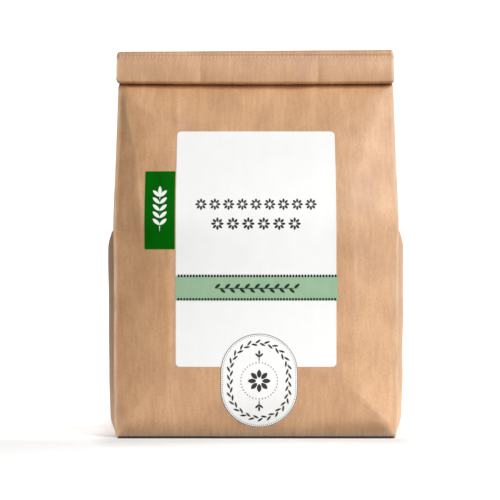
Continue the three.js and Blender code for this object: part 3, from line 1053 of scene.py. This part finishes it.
def unrolled(material):
    """Object coordinates that run across the sheet with x, or with y where it faces the sides."""
    source = add_node(material, "TexCoord")
    place = add_node(material, "SeparateXYZ", links={"Vector": source.outputs["Object"]})
    normal = source.outputs["Normal"]
    turned = add_node(material, "VectorMath", {"operation": "ABSOLUTE"}, {0: normal})
    facing = add_node(material, "SeparateXYZ", links={"Vector": turned.outputs["Vector"]})
    sides = {0: facing.outputs["X"], 1: facing.outputs["Y"]}
    sideways = add_node(material, "Math", {"operation": "GREATER_THAN"}, sides).outputs[0]
    ways = {"A": place.outputs["X"], "B": place.outputs["Y"], "Factor": sideways}
    across = add_node(material, "Mix", {"data_type": "FLOAT"}, ways).outputs["Result"]
    flat = {"X": across, "Z": place.outputs["Z"]}
    return add_node(material, "CombineXYZ", links=flat).outputs["Vector"]


def stretched(material, width, height):
    """Coordinates in which a patch of the given size, in metres, has size 1."""
    size = (1 / width, 1, 1 / height)
    place = unrolled(material)
    return add_node(material, "Mapping", links={"Vector": place}, Scale=size).outputs["Vector"]


def grain(material, width, height, detail, roughness=0.5):
    """A noise whose patches have the given width and height."""
    place = {"Vector": stretched(material, width, height)}
    noises = {"Scale": 1.0, "Detail": detail, "Roughness": roughness}
    return add_node(material, "TexNoise", links=place, **noises).outputs["Fac"]


def brown_kraft_paper():
    """Unbleached kraft, machine-glazed: warm brown, cloudy where the fibres lie thicker, streaked
    along the bag, with darker shives, and paler along its creases, partly rubbed and partly painted
    highlight. Painted shade darkens it under the flap and round the teeth. Dull, with a soft sheen
    on what faces the light."""
    gloss = {"Roughness": 0.62, "IOR": 1.75, "Specular IOR Level": 1.0}
    material, shader = new_material("brown_kraft_paper", **gloss)
    cloud = grain(material, 13 * MM, 17 * MM, 3.0)
    streak = grain(material, 1.5 * MM, 9 * MM, 3.0, 0.6)
    fibre = grain(material, 0.55 * MM, 1.1 * MM, 2.0)
    shive = grain(material, 0.5 * MM, 1.2 * MM, 0.0)
    tones = []
    for pattern, stops in (
        (cloud, ((0.3, "#cc9561"), (0.52, "#daa46c"), (0.75, "#e6b27e"))),
        (streak, ((0.3, "#eae6e2"), (0.7, "#ffffff"))),
        (fibre, ((0.3, "#efebe6"), (0.7, "#ffffff"))),
        (shive, ((0.0, "#d8c6b2"), (0.2, "#d8c6b2"), (0.3, "#ffffff"))),
    ):
        tone = add_node(material, "ValToRGB", links={"Fac": pattern})
        colours(tone, *stops)
        tones.append(tone.outputs["Color"])
    colour, streaks, fibres, flecks = tones
    # Points above 0 turn paler, as wear and, along the creases, the lowest edge and the teeth's
    # tips, as painted light; points below 0 are darkened as painted shade, under the flap and round
    # the teeth
    wear_and_painted_light = add_node(material, "Attribute", {"attribute_name": "wear_and_painted_light"}).outputs["Fac"]
    shade_settings = {"From_Min": -1.0, "From_Max": 0.0, "To_Min": 0.45}
    painted_darkening = add_node(material, "MapRange", links={"Value": wear_and_painted_light}, **shade_settings).outputs["Result"]
    darken = {"data_type": "RGBA", "blend_type": "MULTIPLY"}
    for layer, share in ((streaks, 1.0), (fibres, 1.0), (flecks, 0.6), (painted_darkening, 1.0)):
        layers = {"A": colour, "B": layer}
        colour = add_node(material, "Mix", darken, layers, Factor=share).outputs["Result"]
    paler_share = add_node(material, "Math", {"operation": "MULTIPLY"}, {0: wear_and_painted_light, 1: streak})
    clamped = {"operation": "MULTIPLY", "use_clamp": True}
    paler_share = add_node(material, "Math", clamped, {0: paler_share.outputs[0]})
    paler_share.inputs[1].default_value = 1.3
    mixed = {"A": colour, "Factor": paler_share.outputs[0]}
    paler_colour = add_node(material, "Mix", {"data_type": "RGBA"}, mixed, B=linear("#ecd2b8"))
    bump = add_node(material, "Bump", links={"Height": fibre}, Strength=0.35, Distance=0.05 * MM)
    waves = {"Height": grain(material, 5 * MM, 11 * MM, 2.0), "Normal": bump.outputs["Normal"]}
    wave = add_node(material, "Bump", links=waves, Strength=0.5, Distance=0.25 * MM)
    link(material, shader, {"Base Color": paler_colour.outputs["Result"]})
    link(material, shader, {"Normal": wave.outputs["Normal"]})
    return material


def printed_sheet(name, dark, light, roughness, specular):
    """A printed or coated paper: two close tones in soft clouds, and a faint tooth."""
    gloss = {"Roughness": roughness, "Specular IOR Level": specular}
    material, shader = new_material(name, **gloss)
    tone = add_node(material, "ValToRGB", links={"Fac": grain(material, 6 * MM, 9 * MM, 3.0)})
    colours(tone, (0.3, dark), (0.7, light))
    fine = {"Height": grain(material, 0.5 * MM, 0.5 * MM, 1.0)}
    tooth = add_node(material, "Bump", links=fine, Strength=0.15, Distance=0.02 * MM)
    link(material, shader, {"Base Color": tone.outputs["Color"]})
    link(material, shader, {"Normal": tooth.outputs["Normal"]})
    return material


# Studio


def set_camera():
    lens = bpy.data.cameras.new("camera")
    lens.sensor_width = 36
    lens.lens = LENS
    lens.clip_start = 0.01
    camera = bpy.data.objects.new("camera", lens)
    camera.location = CAMERA_PLACE
    camera.rotation_euler = (math.radians(90), 0, 0)
    bpy.context.scene.collection.objects.link(camera)
    bpy.context.scene.camera = camera


def softbox(name, place, target, size, power):
    light = bpy.data.lights.new(name, "AREA")
    light.shape = "RECTANGLE"
    light.size, light.size_y = size
    light.energy = power
    box = bpy.data.objects.new(name, light)
    box.location = place
    box.rotation_euler = (Vector(target) - Vector(place)).to_track_quat("-Z", "Y").to_euler()
    bpy.context.scene.collection.objects.link(box)


def white_surface(name, glow):
    """Matt white card that is lit from behind, so that it shows as pure white."""
    card = {"Base Color": (0.9, 0.9, 0.9, 1), "Roughness": 0.9}
    lit = {"Emission Color": (1, 1, 1, 1), "Emission Strength": glow}
    return new_material(name, **card, **lit)


def floor_paper():
    """The same card, with a painted shadow: dark in a thin band at the bag's foot and a little
    darker round it. It glows less in front of the bag, where the softboxes light it more, and more
    beside and behind it, where its glow lightens the bag's shadow."""
    material, shader = white_surface("floor_paper", 1.0)
    steps = (
        ("ABSOLUTE", (0, 0, 0)),
        ("SUBTRACT", (HALF_WIDTH - FOOT_TUCK - SHADE_INSET, CREASE_DEPTH, 0)),
        ("MAXIMUM", (0, 0, 0)),
        ("MULTIPLY", (SIDE_SHADE, 1, 1)),
    )
    place = add_node(material, "TexCoord").outputs["Object"]
    depth = add_node(material, "SeparateXYZ", links={"Vector": place}).outputs["Y"]
    for operation, value in steps:
        step = add_node(material, "VectorMath", {"operation": operation}, {0: place})
        step.inputs[1].default_value = value
        place = step.outputs["Vector"]
    beyond = add_node(material, "VectorMath", {"operation": "LENGTH"}, {0: place}).outputs["Value"]
    fades = []
    for value, between, results in (
        (beyond, FOOT_SHADE, FOOT_LIGHT),
        (beyond, SOFT_SHADE, SOFT_LIGHT),
        (depth, GLOW_RISE, GLOW),
    ):
        ends = dict(zip(("From_Min", "From_Max", "To_Min", "To_Max"), between + results))
        softly = {"interpolation_type": "SMOOTHSTEP"}
        fade = add_node(material, "MapRange", softly, {"Value": value}, **ends)
        fades.append(fade.outputs["Result"])
    thin, soft, glow = fades
    multiply = {"operation": "MULTIPLY"}
    shade = add_node(material, "Math", multiply, {0: thin, 1: soft}).outputs[0]
    light = add_node(material, "Math", multiply, {0: shade, 1: glow}).outputs[0]
    link(material, shader, {"Base Color": shade, "Emission Color": light})
    return material


def studio():
    bpy.ops.mesh.primitive_plane_add(size=1)
    floor = named("floor")

    def spread(points):
        front = points[:, 1] < 0
        x = points[:, 0] * np.where(front, *FLOOR_WIDTH)
        return np.column_stack([x, np.where(front, FLOOR_FRONT, BACKDROP_Y), points[:, 2]])

    move_points(floor, spread)
    floor.data.materials.append(floor_paper())
    bpy.ops.mesh.primitive_plane_add(
        size=BACKDROP_SIZE, location=(0, BACKDROP_Y, 0), rotation=(math.radians(90), 0, 0)
    )
    backdrop = named("backdrop")
    backdrop.data.materials.append(white_surface("backdrop_paper", BACKDROP_GLOW)[0])
    world = bpy.data.worlds.new("studio_walls")
    world.use_nodes = True
    light = {"Color": (1, 1, 1, 1), "Strength": ROOM_LIGHT}
    set_inputs(world.node_tree.nodes["Background"], light)
    bpy.context.scene.world = world
    bpy.context.scene.view_settings.view_transform = "Standard"
    for name, settings in SOFTBOXES.items():
        softbox(name + "_softbox", *settings)


set_camera()
studio()

kraft = brown_kraft_paper()
# Coated label stock: near white, smooth, with a little gloss
label_stock = printed_sheet("coated_label_stock", "#f3f3f2", "#f6f6f5", 0.5, 0.4)
# Dark green ink laid solid on label stock: deep and even, hardly shiny
tab_ink = printed_sheet("dark_green_print", "#025c05", "#036707", 0.6, 0.03)
# Pale green ink on the label: even, a little chalky
sage_ink = printed_sheet("sage_green_print", "#94b695", "#9bbd9b", 0.6, 0.3)
# Uncoated white paper of the seal
seal_stock = printed_sheet("white_seal_stock", "#f5f5f4", "#f9f9f8", 0.6, 0.3)
# Inks of the ornaments, each a thin dull film
grey_ink = printed_sheet("dark_grey_ink", "#2c2c2c", "#363636", 0.6, 0.3)
black_ink = printed_sheet("black_ink", "#0a0a0a", "#131313", 0.6, 0.3)
leaf_ink = printed_sheet("deep_green_ink", "#15291a", "#1d3322", 0.6, 0.3)
white_ink = printed_sheet("white_ink", "#f2f2f0", "#fafaf8", 0.6, 0.3)

walls = paper_bag()
back_flap = base_flap(1, walls)
base = together("base", walls, back_flap)
front_flap = base_flap(-1, base)
bpy.data.objects.remove(base)
base_flaps = join([back_flap, front_flap], "base_flaps")
seam = back_seam(walls)
top = folded_top()
label = sticker("label", LABEL_CORNER, (36, 60), walls)
tab = sticker("tab", PRINT_CORNER, (8, 20), walls)
front = together("front_so_far", walls, label)
band = sticker("band", PRINT_CORNER, (36, 8), front)
seal = sticker("seal", SEAL_CORNER - OPEN_CORNER, (24, 28), front)
bpy.data.objects.remove(front)
front = together("whole_front", walls, label, tab, band, seal)
flowers = label_ornaments(front)
dots = band_dots(front)
leaves = band_leaves(front)
twig = tab_sprig(front)
lines = seal_lines(front)
wreath = seal_ornaments(front)
bpy.data.objects.remove(front)


# Each piece with its material, its slot and the node that it replaces
for piece, material, slot, *nodes in (
    (walls, kraft, "kraft_paper", "bag"),
    (top, kraft, "kraft_paper", "bag"),
    (base_flaps, kraft, "kraft_paper", "bag"),
    (seam, kraft, "kraft_paper", "bag"),
    (label, label_stock, "white_label_paper", "label"),
    (flowers, grey_ink, "white_label_paper"),
    (tab, tab_ink, "dark_green_sticker", "tab"),
    (twig, white_ink, "dark_green_sticker"),
    (band, sage_ink, "sage_green_print", "band"),
    (dots, black_ink, "sage_green_print"),
    (leaves, leaf_ink, "sage_green_print"),
    (seal, seal_stock, "white_seal_paper", "seal"),
    (lines, grey_ink, "white_seal_paper"),
    (wreath, grey_ink, "white_seal_paper"),
):
    piece.data.materials.clear()
    piece.data.materials.append(material)
    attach(piece, "root")
    if nodes:
        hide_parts(*nodes)
